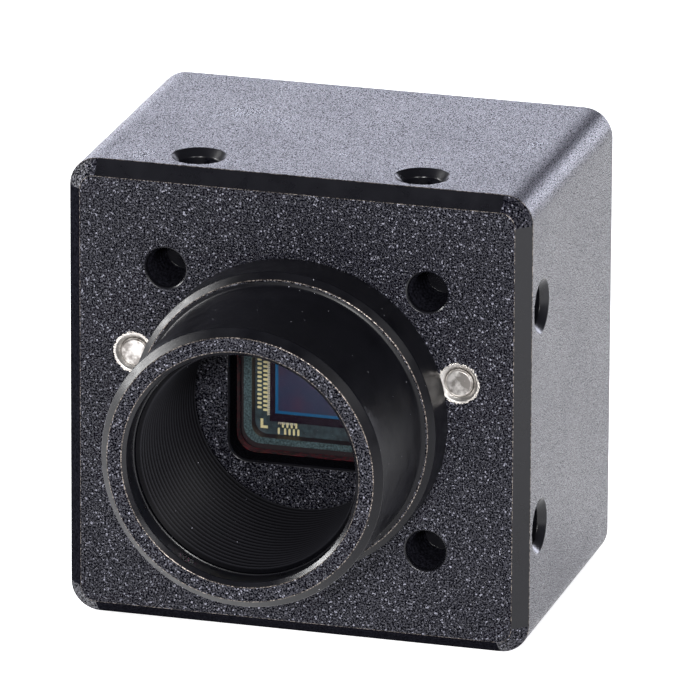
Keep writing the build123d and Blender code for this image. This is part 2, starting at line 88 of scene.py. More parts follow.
def new_material(name):
    """A new material, its node tree, its object coordinates and its surface's input."""
    made = bpy.data.materials.new(name)
    made.use_nodes = True
    tree = made.node_tree
    tree.nodes.clear()
    place_of = add(tree, "ShaderNodeTexCoord").outputs["Object"]
    return made, tree, place_of, add(tree, "ShaderNodeOutputMaterial").inputs["Surface"]


def pick(piece, kind, test):
    """In edit mode, selects only the faces, edges or vertices that pass the test."""
    bpy.ops.mesh.select_all(action="DESELECT")
    bpy.ops.mesh.select_mode(type=kind)
    form = bmesh.from_edit_mesh(piece.data)
    for part in {"FACE": form.faces, "EDGE": form.edges, "VERT": form.verts}[kind]:
        if test(part):
            part.select = True
    form.select_flush_mode()
    bmesh.update_edit_mesh(piece.data)


def take(piece):
    """Makes the piece the only selected one, and the active one."""
    bpy.ops.object.select_all(action="DESELECT")
    piece.select_set(True)
    bpy.context.view_layer.objects.active = piece


def edit(piece):
    """Takes the piece into edit mode."""
    take(piece)
    bpy.ops.object.mode_set(mode="EDIT")


def leave(piece, smooth_angle=30):
    """Leaves edit mode and shades smooth, but for edges sharper than the angle."""
    bpy.ops.object.mode_set(mode="OBJECT")
    bpy.ops.object.shade_smooth_by_angle(angle=math.radians(smooth_angle))


def bevel_edges(piece, width, segments=2, angle=30):
    """Rounds every edge sharper than the angle, as tumbling or deburring does."""
    modifier = piece.modifiers.new("edge_break", "BEVEL")
    modifier.width = width
    modifier.segments = segments
    modifier.limit_method = "ANGLE"
    modifier.angle_limit = math.radians(angle)
    modifier.harden_normals = False
    bpy.context.view_layer.objects.active = piece
    bpy.ops.object.modifier_apply(modifier=modifier.name)


def copy_of(node_name, piece_name):
    """A merged copy of a CAD node, to be refined and to stand for it."""
    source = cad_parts[node_name]
    piece = source.copy()
    piece.data = source.data.copy()
    piece.name = piece_name
    for key in list(piece.keys()):
        del piece[key]
    piece.parent = None
    bpy.context.scene.collection.objects.link(piece)
    piece.data.materials.clear()
    edit(piece)
    bpy.ops.mesh.select_all(action="SELECT")
    bpy.ops.mesh.remove_doubles(threshold=1e-7)
    bpy.ops.mesh.customdata_custom_splitnormals_clear()
    bpy.ops.mesh.dissolve_limited(angle_limit=math.radians(0.5))
    leave(piece)
    return piece


def weighted_normals(piece):
    """Keeps large flat faces flat in the shading where they meet small rounded ones."""
    modifier = piece.modifiers.new("flat_faces", "WEIGHTED_NORMAL")
    modifier.keep_sharp = True
    modifier.weight = 100
    bpy.context.view_layer.objects.active = piece
    bpy.ops.object.modifier_apply(modifier=modifier.name)


def ridge(name, turns, pitch, root_r, crest_r, steps):
    """A screw thread's ridge, wound up round Z from z = 0: a triangle, its tip at crest_r, ends closed."""
    bpy.ops.object.select_all(action="DESELECT")
    bpy.ops.mesh.primitive_circle_add(
        vertices=3, radius=1, rotation=(math.radians(90), math.radians(-90), 0)
    )
    piece = bpy.context.object
    piece.name = name
    piece.data.name = name
    bpy.ops.object.transform_apply(location=False, rotation=True, scale=False)
    edit(piece)
    bpy.ops.mesh.select_all(action="SELECT")
    height = root_r - crest_r
    # As added, the triangle is 1.5 high, from its tip at -1 to its base at 0.5, and 1.732 wide. It is made a
    # little narrower than the pitch, so that neighbouring turns don't touch.
    bpy.ops.transform.resize(value=(height / 1.5, 1, 0.96 * pitch / 1.732), center_override=(0, 0, 0))
    bpy.ops.transform.translate(value=(crest_r + height / 1.5, 0, pitch / 2))
    bpy.ops.object.mode_set(mode="OBJECT")
    winding = piece.modifiers.new("winding", "SCREW")
    winding.axis = "Z"
    winding.angle = 2 * math.pi * turns
    winding.screw_offset = pitch * turns
    winding.steps = int(steps * turns)
    winding.render_steps = int(steps * turns)
    bpy.ops.object.modifier_apply(modifier="winding")
    edit(piece)
    pick(piece, "EDGE", lambda e: e.is_boundary)
    bpy.ops.mesh.fill_holes(sides=3)
    bpy.ops.mesh.select_all(action="SELECT")
    bpy.ops.mesh.normals_make_consistent(inside=False)
    leave(piece)
    return piece


def place(piece, origin, direction):
    """Turns a piece made round Z so that Z points along direction, moves it, and fixes it there."""
    take(piece)
    piece.rotation_euler = Vector((0, 0, 1)).rotation_difference(Vector(direction)).to_euler()
    piece.location = origin
    bpy.ops.object.transform_apply(location=True, rotation=True, scale=True)


def paint_faces(piece, materials, rule):
    """Gives the piece its materials, and each face the one whose number the rule returns."""
    piece.data.materials.clear()
    for m in materials:
        piece.data.materials.append(m)
    for polygon in piece.data.polygons:
        polygon.material_index = rule(polygon.center, polygon.normal)


# Black anodised aluminium, grit-blasted: nearly black, with painted shade that darkens its pits and lightens
# its crests, and pale specks that are painted glints. Round the two pins the countersink has torn the finish
# into a bright ragged ring. The colour sockets of Mix are its 6 and 7, and its colour output is 2.
grit_size = 0.11 * MM
pit_depth = 0.05 * MM
torn_r = 1.27 * MM
torn_depth = 0.5 * MM
tear_size = 0.3 * MM
coarse_blast, tree, place_of, surface = new_material("black_anodised_aluminium_grit_blasted")
grit = add(
    tree, "ShaderNodeTexNoise", {"Scale": 1 / grit_size, "Detail": 3, "Roughness": 0.65}, {"Vector": place_of}
)
facets = add(
    tree, "ShaderNodeTexVoronoi", {"Scale": 1.3 / grit_size, "Randomness": 1.0}, {"Vector": place_of}
)
facet = add(tree, "ShaderNodeSeparateColor", links={"Color": facets.outputs["Color"]})
# Painted glints: random facets are mixed towards pale grey in the colour, as if they caught the light.
painted_glint = add(
    tree, "ShaderNodeMapRange", {"From Min": 0.94, "From Max": 1.0, "To Min": 0.0, "To Max": 0.7},
    {"Value": facet.outputs["Red"]},
)
# Painted shade: where the grit's noise is low, in the pits of the bump below, the colour is darker, and on
# the crests it is lighter.
tone = add(
    tree, "ShaderNodeValToRGB", {"stops": ((0.44, "#050509"), (0.64, "#2d2d39"))},
    {"Fac": grit.outputs["Fac"]},
)
with_painted_glints = add(
    tree, "ShaderNodeMix", {"data_type": "RGBA", 7: linear("#a4a4b2")},
    {0: painted_glint.outputs["Result"], 6: tone.outputs["Color"]},
)
from_axis = add(tree, "ShaderNodeMapping", {"Location": (-axis_x, 0, -pin_z)}, {"Vector": place_of})
apart = add(tree, "ShaderNodeSeparateXYZ", links={"Vector": from_axis.outputs["Vector"]})
either_side = add(tree, "ShaderNodeMath", {"operation": "ABSOLUTE"}, {0: apart.outputs["X"]})
from_pin_x = add(
    tree, "ShaderNodeMath", {"operation": "SUBTRACT", 1: pin_reach}, {0: either_side.outputs["Value"]}
)
from_pin = add(
    tree, "ShaderNodeCombineXYZ", links={"X": from_pin_x.outputs["Value"], "Z": apart.outputs["Z"]}
)
from_pin_r = add(tree, "ShaderNodeVectorMath", {"operation": "LENGTH"}, {0: from_pin.outputs["Vector"]})
tears = add(
    tree, "ShaderNodeTexNoise", {"Scale": 1 / tear_size, "Detail": 4, "Roughness": 0.7}, {"Vector": place_of}
)
torn_edge = add(
    tree, "ShaderNodeMath", {"operation": "MULTIPLY_ADD", 1: torn_depth},
    {0: tears.outputs["Fac"], 2: from_pin_r.outputs["Value"]},
)
torn = add(
    tree, "ShaderNodeMath", {"operation": "LESS_THAN", 1: torn_r + torn_depth / 2},
    {0: torn_edge.outputs["Value"]},
)
coloured = add(
    tree, "ShaderNodeMix", {"data_type": "RGBA", 7: linear("#d2ccc6")},
    {0: torn.outputs["Value"], 6: with_painted_glints.outputs[2]},
)
gloss = add(
    tree, "ShaderNodeMapRange", {"From Min": 0.35, "From Max": 0.65, "To Min": 0.42, "To Max": 0.26},
    {"Value": grit.outputs["Fac"]},
)
shine = add(
    tree, "ShaderNodeMapRange", {"From Min": 0.46, "From Max": 0.62, "To Min": 0.0, "To Max": 0.6},
    {"Value": grit.outputs["Fac"]},
)
relief = add(
    tree, "ShaderNodeMath", {"operation": "MULTIPLY_ADD", 1: 0.4},
    {0: facets.outputs["Distance"], 2: grit.outputs["Fac"]},
)
bump = add(
    tree, "ShaderNodeBump", {"Strength": 1.0, "Distance": pit_depth}, {"Height": relief.outputs["Value"]}
)
shader = add(
    tree, "ShaderNodeBsdfPrincipled", None,
    {
        "Base Color": coloured.outputs[2], "Metallic": torn.outputs["Value"],
        "Specular IOR Level": shine.outputs["Result"],
        "Roughness": gloss.outputs["Result"], "Normal": bump.outputs["Normal"],
    },
)
tree.links.new(shader.outputs["BSDF"], surface)

# The same metal bead-blasted fine: an even satin that turns pale grey where it is seen edge-on. The beads'
# marks are drawn about twice as coarse as they are, so that they show.
bead_size = 0.07 * MM
bead_depth = 0.03 * MM
cloud_size = 4 * MM
fine_blast, tree, place_of, surface = new_material("black_anodised_aluminium_bead_blasted")
beads = add(
    tree, "ShaderNodeTexNoise", {"Scale": 1 / bead_size, "Detail": 2, "Roughness": 0.6}, {"Vector": place_of}
)
clouds = add(
    tree, "ShaderNodeTexNoise", {"Scale": 1 / cloud_size, "Detail": 3, "Roughness": 0.6}, {"Vector": place_of}
)
tone = add(
    tree, "ShaderNodeValToRGB", {"stops": ((0.4, "#101018"), (0.66, "#5c5c6a"))},
    {"Fac": beads.outputs["Fac"]},
)
gloss = add(
    tree, "ShaderNodeMapRange", {"From Min": 0.3, "From Max": 0.7, "To Min": 0.27, "To Max": 0.33},
    {"Value": clouds.outputs["Fac"]},
)
shine = add(
    tree, "ShaderNodeMapRange", {"From Min": 0.44, "From Max": 0.56, "To Min": 0.0, "To Max": 0.85},
    {"Value": beads.outputs["Fac"]},
)
bump = add(
    tree, "ShaderNodeBump", {"Strength": 0.8, "Distance": bead_depth}, {"Height": beads.outputs["Fac"]}
)
shader = add(
    tree, "ShaderNodeBsdfPrincipled", {"IOR": 1.7},
    {
        "Base Color": tone.outputs["Color"], "Roughness": gloss.outputs["Result"],
        "Specular IOR Level": shine.outputs["Result"], "Normal": bump.outputs["Normal"],
    },
)
tree.links.new(shader.outputs["BSDF"], surface)

# The same metal left as milled or turned: darker and smoother, with faint tool marks, drawn a little
# coarser than they are.
tool_mark = 0.06 * MM
mark_depth = 0.004 * MM
smear_size = 1.5 * MM
machined_black, tree, place_of, surface = new_material("black_anodised_aluminium_machined")
marks = add(
    tree, "ShaderNodeTexNoise", {"Scale": 1 / tool_mark, "Detail": 2, "Roughness": 0.5}, {"Vector": place_of}
)
smears = add(tree, "ShaderNodeTexNoise", {"Scale": 1 / smear_size, "Detail": 3}, {"Vector": place_of})
tone = add(
    tree, "ShaderNodeValToRGB", {"stops": ((0, "#0a0a0e"), (1, "#17171c"))},
    {"Fac": smears.outputs["Fac"]},
)
gloss = add(
    tree, "ShaderNodeMapRange", {"From Min": 0.3, "From Max": 0.7, "To Min": 0.24, "To Max": 0.34},
    {"Value": smears.outputs["Fac"]},
)
bump = add(
    tree, "ShaderNodeBump", {"Strength": 0.25, "Distance": mark_depth}, {"Height": marks.outputs["Fac"]}
)
shader = add(
    tree, "ShaderNodeBsdfPrincipled", {"IOR": 1.42},
    {
        "Base Color": tone.outputs["Color"], "Roughness": gloss.outputs["Result"],
        "Normal": bump.outputs["Normal"],
    },
)
tree.links.new(shader.outputs["BSDF"], surface)


def two_tone(name, grain, detail, dark, pale, settings, span=(0, 1), relief=None):
    """A finish that wanders from a dark to a pale tone, in patches about as wide as the grain.

    The settings are the shader's own, the span is where the noise is darkest and palest, and the relief is
    the bumps' strength and depth.
    """
    made, tree, place_of, surface = new_material(name)
    noise = add(tree, "ShaderNodeTexNoise", {"Scale": 1 / grain, "Detail": detail}, {"Vector": place_of})
    tone = add(
        tree, "ShaderNodeValToRGB", {"stops": ((span[0], dark), (span[1], pale))},
        {"Fac": noise.outputs["Fac"]},
    )
    links = {"Base Color": tone.outputs["Color"]}
    if relief:
        bump = add(
            tree, "ShaderNodeBump", {"Strength": relief[0], "Distance": relief[1]},
            {"Height": noise.outputs["Fac"]},
        )
        links["Normal"] = bump.outputs["Normal"]
    shader = add(tree, "ShaderNodeBsdfPrincipled", settings, links)
    tree.links.new(shader.outputs["BSDF"], surface)
    return made


# Bare aluminium, where the countersinks round the pins were cut through the finish: bright and ragged.
bare_aluminium = two_tone(
    "bare_aluminium_countersunk", 0.25 * MM, 3, "#8f8d8c", "#f2eee9",
    {"Metallic": 1.0, "Roughness": 0.45}, relief=(0.7, 0.03 * MM),
)

# The rims of the chamfers, where the blasted skin was cut: a thin broken line of bare metal
# and brown finish.
cut_rim = two_tone(
    "black_anodised_aluminium_cut_rim", 0.12 * MM, 3, "#1a1514", "#a89d94",
    {"Metallic": 0.6, "Roughness": 0.38}, span=(0.45, 0.68),
)

# The same metal made dull and darker, with no reflection: the window's wall, the tapped holes' threads, and
# the left and lower sides of the front chamfer, where it is painted shade; the rest of the chamfer is
# machined.
dull_black_and_painted_shade = two_tone(
    "black_anodised_aluminium_matt_and_painted_shade", 0.12 * MM, 3, "#060609", "#1a1a20",
    {"Specular IOR Level": 0.0, "Roughness": 0.5}, span=(0.35, 0.7), relief=(0.4, 0.01 * MM),
)

# How far each finish reaches on the block; the edge break is the tumbled rounding of its edges.
edge_break = 0.05 * MM
rim_w = 0.06 * MM
countersink_r = 1.25 * MM
countersink_depth = 0.6 * MM
floor_r = 8 * MM
floor_depth = 0.3 * MM
window_r = 7.5 * MM
side_start = 12.4 * MM
side_front = 0.8 * MM
back_depth = 0.4 * MM
corner_start = 12.8 * MM


def housing_finish(centre, normal):
    """0 grit-blasted, 1 bead-blasted, 2 machined, 3 bare, 4 cut rim, 5 dull black and painted shade."""
    off_x, off_z = centre.x - axis_x, centre.z - axis_z
    off_r = math.hypot(off_x, off_z)
    behind = centre.y - face_y
    # The countersinks round the pins.
    from_pin = math.hypot(abs(off_x) - pin_reach, centre.z - pin_z)
    if from_pin < countersink_r and behind < countersink_depth and normal.y > -0.98:
        return 3
    # The front face, and the floor inside the tube.
    on_floor = off_r < floor_r and centre.y < seat_y + floor_depth
    if normal.y < -0.9 and (behind < rim_w or on_floor):
        return 0
    # The window's rim, and its wall.
    if off_r < window_r and abs(centre.y - seat_y) < edge_break and -0.9 < normal.y < -0.3:
        return 4
    if off_r < window_r and centre.y > seat_y + 2 * edge_break and abs(normal.y) < 0.5:
        return 5
    # The four sides and the back.
    at_side = max(abs(off_x), abs(off_z)) > side_start
    faces_out = normal.x * off_x + normal.z * off_z > 0
    if at_side and abs(normal.y) < 0.04 and behind > side_front and faces_out:
        return 1
    if normal.y > 0.9 and centre.y > shell_high.y - back_depth:
        return 1
    # The chamfer: its two rims, its rounded corners, and its left and lower sides, the last in dull black as
    # painted shade.
    if at_side and abs(behind - front_chamfer) < rim_w and -0.69 < normal.y < -0.02:
        return 4
    if at_side and behind < edge_break and -0.98 < normal.y < -0.72:
        return 4
    if behind < front_chamfer and min(abs(off_x), abs(off_z)) > corner_start:
        return 0
    # Painted shade: the chamfer's left and lower sides take the dull black, while its right and upper sides
    # stay machined.
    if at_side and behind < front_chamfer and -0.9 < normal.y < -0.5 and min(normal.x, normal.z) < -0.5:
        return 5
    return 2


housing = copy_of("housing", "housing_shell")
bevel_edges(housing, edge_break, 2, 35)
weighted_normals(housing)
paint_faces(
    housing, [coarse_blast, fine_blast, machined_black, bare_aluminium, cut_rim, dull_black_and_painted_shade],
    housing_finish,
)
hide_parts("housing")
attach(housing, "root")

# Threads of the tapped holes: M3, half a millimetre to the turn, each starting just below its face.
m3_pitch = 0.5 * MM
m3_wall_r = 1.26 * MM
m3_crest_r = 1.1 * MM
m3_turns = 6.5
front_reach = 8.2 * MM
side_reach = 7.0 * MM
side_y = face_y + 3.05 * MM
below_front = face_y + 0.2 * MM
below_side = 14.0 * MM
tapped = []
for x in (axis_x - front_reach, axis_x + front_reach):
    for z in (axis_z - front_reach, axis_z + front_reach):
        tapped.append(((x, below_front, z), (0, 1, 0)))
for sign in (-1, 1):
    for offset in (-side_reach, side_reach):
        tapped.append(((axis_x + offset, side_y, axis_z + sign * below_side), (0, 0, -sign)))
        tapped.append(((axis_x + sign * below_side, side_y, axis_z + offset), (-sign, 0, 0)))
m3_ridge = ridge("m3_thread_1", m3_turns, m3_pitch, m3_wall_r, m3_crest_r, 32)
m3_ridge.data.materials.append(dull_black_and_painted_shade)
for number, (origin, direction) in enumerate(tapped, 1):
    thread = m3_ridge
    if number < len(tapped):
        thread = m3_ridge.copy()
        thread.data = m3_ridge.data.copy()
        thread.name = f"m3_thread_{number + 1}"
        bpy.context.scene.collection.objects.link(thread)
    place(thread, origin, direction)
    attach(thread, "root")


# ---------------------------------------------------------------------------
# Lens tube. Turned from aluminium bar with a collar, its end faces blasted,
# the rest satin, black anodised. Screwed into the housing; M14 fine thread inside.
# ---------------------------------------------------------------------------
def turned(name, outline, segments):
    """A closed ring turned about the lens axis; outline is its section as (y, radius) pairs."""
    bpy.ops.object.select_all(action="DESELECT")
    bpy.ops.mesh.primitive_circle_add(
        vertices=segments, radius=outline[0][1], location=(axis_x, outline[0][0], axis_z),
        rotation=(math.radians(90), 0, 0),
    )
    piece = bpy.context.object
    piece.name = name
    piece.data.name = name
    bpy.ops.object.transform_apply(location=True, rotation=True, scale=True)
    edit(piece)
    bpy.ops.mesh.select_mode(type="EDGE")
    bpy.ops.mesh.select_all(action="SELECT")
    for (y_from, r_from), (y_to, r_to) in zip(outline, outline[1:] + outline[:1]):
        bpy.ops.mesh.extrude_edges_move(TRANSFORM_OT_translate={"value": (0, y_to - y_from, 0)})
        bpy.ops.transform.resize(
            value=(r_to / r_from, 1, r_to / r_from), center_override=(axis_x, y_to, axis_z)
        )
    bpy.ops.mesh.select_all(action="SELECT")
    bpy.ops.mesh.remove_doubles(threshold=1e-6)
    bpy.ops.mesh.normals_make_consistent(inside=False)
    leave(piece)
    return piece


tube_front = tube_low.y
tube_r = 8.75 * MM
collar_r = (tube_high.x - tube_low.x) / 2
collar_front = face_y - 3.1 * MM
collar_edge = 0.4 * MM
cove = 0.3 * MM
cove_mid = 0.3 * cove
outer_edge = 0.5 * MM
mouth_edge = 0.28 * MM
relief_r = 7.1 * MM
relief_end = tube_front + 1.5 * MM
thread_root_r = 7.0 * MM
thread_crest_r = 6.73 * MM
spigot_r = 8.0 * MM
tube_outline = [
    (seat_y, spigot_r),
    (face_y, spigot_r),
    (face_y, collar_r),
    (collar_front + collar_edge, collar_r),
    (collar_front, collar_r - collar_edge),
    (collar_front, tube_r + cove),
    (collar_front - cove_mid, tube_r + cove_mid),
    (collar_front - cove, tube_r),
    (tube_front + outer_edge, tube_r),
    (tube_front, tube_r - outer_edge),
    (tube_front, relief_r + mouth_edge),
    (tube_front + mouth_edge, relief_r),
    (relief_end, relief_r),
    (relief_end, thread_root_r),
    (seat_y, thread_root_r),
]
tube = turned("lens_tube_turned", tube_outline, 160)
bevel_edges(tube, 0.045 * MM, 3, 25)

# Turned black anodised aluminium: satin, with fine feed marks round the tube and a few specks of dust.
feed_mark = 0.09 * MM
feed_depth = 0.006 * MM
handled_patch = 1.2 * MM
dust_spacing = 0.8 * MM
dust_r = 0.03 * MM
turned_black, tree, place_of, surface = new_material("black_anodised_aluminium_turned")
stretched = add(tree, "ShaderNodeMapping", {"Scale": (0.03, 1.0, 0.03)}, {"Vector": place_of})
feed = add(
    tree, "ShaderNodeTexNoise", {"Scale": 1 / feed_mark, "Detail": 2, "Roughness": 0.6},
    {"Vector": stretched.outputs["Vector"]},
)
smears = add(tree, "ShaderNodeTexNoise", {"Scale": 1 / handled_patch, "Detail": 4}, {"Vector": place_of})
tone = add(
    tree, "ShaderNodeValToRGB", {"stops": ((0, "#060609"), (1, "#121217"))},
    {"Fac": smears.outputs["Fac"]},
)
gloss = add(
    tree, "ShaderNodeMapRange", {"From Min": 0.3, "From Max": 0.7, "To Min": 0.28, "To Max": 0.42},
    {"Value": smears.outputs["Fac"]},
)
dust_spots = add(tree, "ShaderNodeTexVoronoi", {"Scale": 1 / dust_spacing}, {"Vector": place_of})
speck = add(
    tree, "ShaderNodeMath", {"operation": "LESS_THAN", 1: dust_r / dust_spacing},
    {0: dust_spots.outputs["Distance"]},
)
dusted = add(
    tree, "ShaderNodeMix", {"data_type": "RGBA", 7: linear("#a9a9b2")},
    {0: speck.outputs["Value"], 6: tone.outputs["Color"]},
)
bump = add(tree, "ShaderNodeBump", {"Strength": 0.2, "Distance": feed_depth}, {"Height": feed.outputs["Fac"]})
shader = add(
    tree, "ShaderNodeBsdfPrincipled", {"Specular IOR Level": 0.2},
    {"Base Color": dusted.outputs[2], "Roughness": gloss.outputs["Result"], "Normal": bump.outputs["Normal"]},
)
tree.links.new(shader.outputs["BSDF"], surface)

# The threaded bore: dull black, with a painted highlight that makes the thread's crests a little lighter.
crest_band = 0.1 * MM
grime_size = 0.4 * MM
threaded_black, tree, place_of, surface = new_material("black_anodised_aluminium_threaded")
from_axis = add(
    tree, "ShaderNodeMapping", {"Location": (-axis_x, 0, -axis_z), "Scale": (1, 0, 1)}, {"Vector": place_of}
)
bore_r = add(tree, "ShaderNodeVectorMath", {"operation": "LENGTH"}, {0: from_axis.outputs["Vector"]})
# Painted highlight: faces near the thread's crest are mixed a little lighter, as if lit.
painted_crest_highlight = add(
    tree, "ShaderNodeMapRange",
    {"From Min": thread_crest_r, "From Max": thread_crest_r + crest_band, "To Min": 1.0, "To Max": 0.0},
    {"Value": bore_r.outputs["Value"]},
)
grime = add(tree, "ShaderNodeTexNoise", {"Scale": 1 / grime_size, "Detail": 4}, {"Vector": place_of})
tone = add(
    tree, "ShaderNodeValToRGB", {"stops": ((0, "#020204"), (1, "#08080c"))},
    {"Fac": grime.outputs["Fac"]},
)
dust_spots = add(tree, "ShaderNodeTexVoronoi", {"Scale": 1 / dust_spacing}, {"Vector": place_of})
speck = add(
    tree, "ShaderNodeMath", {"operation": "LESS_THAN", 1: dust_r / dust_spacing},
    {0: dust_spots.outputs["Distance"]},
)
lighter = add(
    tree, "ShaderNodeMath", {"operation": "MULTIPLY_ADD", 1: 0.05},
    {0: painted_crest_highlight.outputs["Result"], 2: speck.outputs["Value"]},
)
dusted = add(
    tree, "ShaderNodeMix", {"data_type": "RGBA", 7: linear("#9a9aa6")},
    {0: lighter.outputs["Value"], 6: tone.outputs["Color"]},
)
shader = add(
    tree, "ShaderNodeBsdfPrincipled", {"Specular IOR Level": 0.08, "Roughness": 0.45},
    {"Base Color": dusted.outputs[2]},
)
tree.links.new(shader.outputs["BSDF"], surface)

rim_reach = 0.03 * MM
past_cove = 0.2 * MM
wall_reach = 0.02 * MM
cut_rims = (
    (collar_front - cove, tube_r),
    (collar_front, tube_r + cove),
    (collar_front, collar_r - collar_edge),
    (tube_front, relief_r + mouth_edge),
    (tube_front, tube_r - outer_edge),
)


def tube_finish(centre, normal):
    """0 grit-blasted, 1 turned, 2 cut rim, 3 threaded, 4 machined."""
    radius = math.hypot(centre.x - axis_x, centre.z - axis_z)
    faces_front = normal.y < -0.95
    # The tube's end and the collar's front face.
    if faces_front and centre.y < tube_front + edge_break:
        return 0
    if faces_front and tube_r + past_cove < radius < collar_r - collar_edge:
        return 0
    for rim_y, rim_r in cut_rims:
        if abs(centre.y - rim_y) < rim_reach and abs(radius - rim_r) < rim_reach and normal.y > -0.97:
            return 2
    # The threaded bore, and the smooth relief and mouth before it.
    if radius < thread_root_r + wall_reach and centre.y > relief_end:
        return 3
    if radius < relief_r + mouth_edge:
        return 4
    return 1


paint_faces(tube, [coarse_blast, turned_black, cut_rim, threaded_black, machined_black], tube_finish)

# The thread's foot is sunk a little into the bore, and it stops a turn short of the seat.
lens_pitch = 0.5 * MM
lens_turns = (seat_y - relief_end) / lens_pitch - 1.2
foot = 0.01 * MM
lead_in = 0.05 * MM
lens_thread = ridge("lens_thread", lens_turns, lens_pitch, thread_root_r + foot, thread_crest_r, 96)
lens_thread.data.materials.append(threaded_black)
place(lens_thread, (axis_x, relief_end + lead_in, axis_z), (0, 1, 0))
take(tube)
lens_thread.select_set(True)
bpy.ops.object.join()
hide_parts("lens_tube")
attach(tube, "root")


# ---------------------------------------------------------------------------
# Front pins. Ground stainless steel dowels pressed in beside the collar, their
# ends faced off flush and left bright.
# ---------------------------------------------------------------------------
pins = copy_of("front_pins", "front_pins_ground")
bevel_edges(pins, 0.03 * MM, 2, 30)

# Ground stainless steel: bright and slightly mottled, with hairline scratches from facing.
scratch_w = 0.08 * MM
scratch_depth = 0.01 * MM
mottle_size = 0.5 * MM
ground_steel, tree, place_of, surface = new_material("stainless_steel_ground")
drawn_out = add(
    tree, "ShaderNodeMapping", {"Scale": (1.0, 1.0, 0.12), "Rotation": (0, 0.5, 0)}, {"Vector": place_of}
)
scratches = add(
    tree, "ShaderNodeTexNoise", {"Scale": 1 / scratch_w, "Detail": 3}, {"Vector": drawn_out.outputs["Vector"]}
)
mottle = add(tree, "ShaderNodeTexNoise", {"Scale": 1 / mottle_size, "Detail": 3}, {"Vector": place_of})
tone = add(
    tree, "ShaderNodeValToRGB", {"stops": ((0.4, "#8f8a86"), (0.6, "#e2deda"))},
    {"Fac": mottle.outputs["Fac"]},
)
bump = add(
    tree, "ShaderNodeBump", {"Strength": 0.35, "Distance": scratch_depth},
    {"Height": scratches.outputs["Fac"]},
)
shader = add(
    tree, "ShaderNodeBsdfPrincipled", {"Metallic": 1.0, "Roughness": 0.38},
    {"Base Color": tone.outputs["Color"], "Normal": bump.outputs["Normal"]},
)
tree.links.new(shader.outputs["BSDF"], surface)
pins.data.materials.append(ground_steel)
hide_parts("front_pins")
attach(pins, "root")


# ---------------------------------------------------------------------------
# Dust seal. A moulded frame of silicone between the housing's floor and the sensor,
# seen only as a dark red line round the window; its dark red is a painted reflection.
# ---------------------------------------------------------------------------
def dress(material, *node_names):
    """Gives CAD nodes that keep their shape their real material."""
    for node_name in node_names:
        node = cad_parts[node_name]
        node.data.materials.clear()
        node.data.materials.append(material)


# Moulded silicone, coloured dark red as a painted reflection of the red gleam round the window: dull, and a
# little brighter where it is worn.
silicone = two_tone(
    "silicone_dark_red_painted_reflection", 0.2 * MM, 3, "#12040a", "#6e1422",
    {"IOR": 1.41, "Roughness": 0.4}, span=(0.4, 0.66), relief=(0.3, 0.01 * MM),
)
dress(silicone, "dust_seal")


# ---------------------------------------------------------------------------
# Sensor package. A laminate base with a moulded black frame; the cover glass is
# bonded on with a grey-green adhesive, and has an anti-reflection coating.
# ---------------------------------------------------------------------------

# Glass with an anti-reflection coating: hardly there at all, but for a faint purple gleam.
coated_glass = two_tone(
    "glass_anti_reflection_coated", 3 * MM, 2, "#24101c", "#3a1828",
    {"IOR": 1.5, "Roughness": 0.02, "Alpha": 0.08, "Specular Tint": linear("#c04a80")},
)
dress(coated_glass, "cover_glass")

# Cured adhesive with mineral powder in it: a dull grey-green band, finely speckled.
bond_line = two_tone(
    "adhesive_cured_grey_green", 0.12 * MM, 3, "#1c2e31", "#5c767b",
    {"IOR": 1.5, "Roughness": 0.45}, span=(0.35, 0.75), relief=(0.6, 0.02 * MM),
)
dress(bond_line, "lid_adhesive")

# Epoxy moulded with a glass filler: a dull brown-black with a fine grain.
black_resin = two_tone(
    "epoxy_moulded_black", 0.1 * MM, 3, "#0d0b0d", "#261a1d",
    {"IOR": 1.55, "Roughness": 0.5}, relief=(0.4, 0.01 * MM),
)
dress(black_resin, "package_frame")

# Laminate under a blue-grey mask: a smooth, faintly mottled ledge that sets off the pads.
laminate = two_tone(
    "laminate_blue_grey_mask", 0.3 * MM, 3, "#1f2b30", "#3d5258",
    {"IOR": 1.55, "Roughness": 0.35}, span=(0.3, 0.7), relief=(0.3, 0.01 * MM),
)
dress(laminate, "package_base")


# ---------------------------------------------------------------------------
# Image sensor. A sawn silicon chip with a black shield round its sensitive field;
# the field's microlenses look slate blue, with a bright blue margin.
# ---------------------------------------------------------------------------

# Silicon under a dark metal shield: violet-black with a soft sheen.
silicon = two_tone(
    "silicon_with_dark_shield", 0.15 * MM, 2, "#0a080e", "#231a2b",
    {"IOR": 1.6, "Roughness": 0.25},
)
dress(silicon, "sensor_die")

# Film of microlenses: slate blue, turned plum in patches by painted sheen, with a clear blue margin all
# round.
field_low, field_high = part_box("pixel_array")
field_centre = (field_low + field_high) / 2
margin_w = 0.185 * MM
painted_sheen_size = 1.6 * MM
microlenses, tree, place_of, surface = new_material("microlens_film_slate_blue_painted_sheen")
centred = add(tree, "ShaderNodeMapping", {"Location": -field_centre}, {"Vector": place_of})
apart = add(tree, "ShaderNodeSeparateXYZ", links={"Vector": centred.outputs["Vector"]})
across = add(tree, "ShaderNodeMath", {"operation": "ABSOLUTE"}, {0: apart.outputs["X"]})
upward = add(tree, "ShaderNodeMath", {"operation": "ABSOLUTE"}, {0: apart.outputs["Z"]})
in_margin_x = add(
    tree, "ShaderNodeMath", {"operation": "GREATER_THAN", 1: (field_high.x - field_low.x) / 2 - margin_w},
    {0: across.outputs["Value"]},
)
in_margin_z = add(
    tree, "ShaderNodeMath", {"operation": "GREATER_THAN", 1: (field_high.z - field_low.z) / 2 - margin_w},
    {0: upward.outputs["Value"]},
)
in_margin = add(
    tree, "ShaderNodeMath", {"operation": "MAXIMUM"},
    {0: in_margin_x.outputs["Value"], 1: in_margin_z.outputs["Value"]},
)
